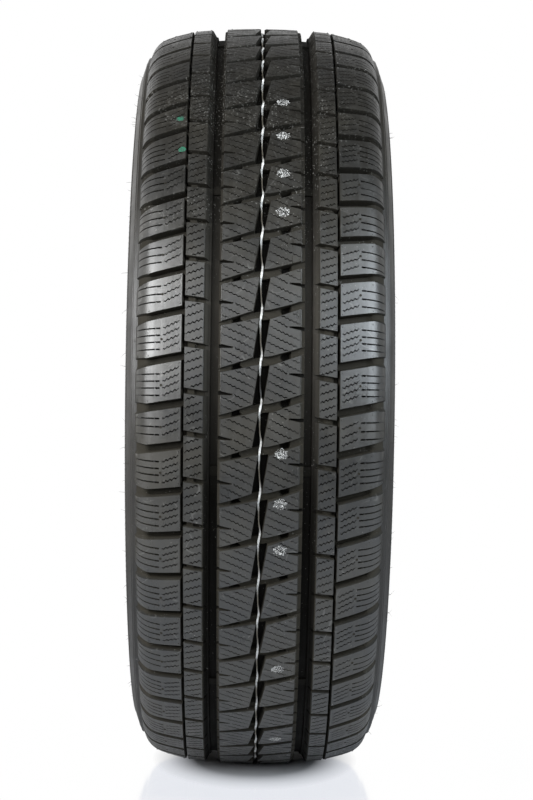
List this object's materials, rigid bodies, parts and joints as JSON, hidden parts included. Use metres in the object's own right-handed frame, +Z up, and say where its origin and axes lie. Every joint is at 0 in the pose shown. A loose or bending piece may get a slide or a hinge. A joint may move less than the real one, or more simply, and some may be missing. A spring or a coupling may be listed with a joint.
{
  "type": "car tyre",
  "caption": "Pneumatic winter tyre with a block tread cut by straight, slanted and sawtooth grooves, plain sidewalls, and an open middle with beads that seat on a wheel rim.",
  "frame": {"origin": "middle of the wheel: on the axle line, in the tyre's middle plane", "axes": "+Y along the axle, to the right in the picture; +Z up; +X towards the camera"},
  "size_m": [0.6859, 0.221, 0.6847],
  "materials": {
    "tyre": "matte"
  },
  "bodies": {
    "root": {"tyre": "tyre"}
  },
  "joints": []
}
